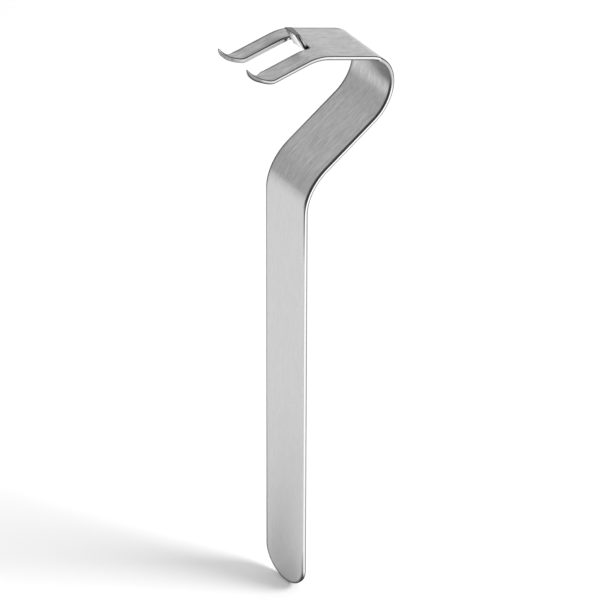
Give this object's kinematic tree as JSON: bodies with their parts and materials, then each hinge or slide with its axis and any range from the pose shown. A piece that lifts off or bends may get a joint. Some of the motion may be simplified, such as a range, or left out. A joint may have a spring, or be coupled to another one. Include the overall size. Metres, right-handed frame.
{
  "type": "chin retractor",
  "caption": "Chin retractor: a flat steel strip bent into a hook, forked at its end into two curled sharp tines with a short prong between them.",
  "frame": {"origin": "middle of the flat handle where the hand holds it, 60 mm above its lower end, midway through the sheet and across the strip", "axes": "+Z along the handle towards the hook, -X the way the fork points, +Y across the strip"},
  "size_m": [0.0483, 0.017, 0.1933],
  "materials": {
    "brushed_steel": "brushed",
    "ground_steel": "ground"
  },
  "bodies": {
    "root": {"blade": "brushed_steel", "centre_prong": "ground_steel"}
  },
  "joints": []
}
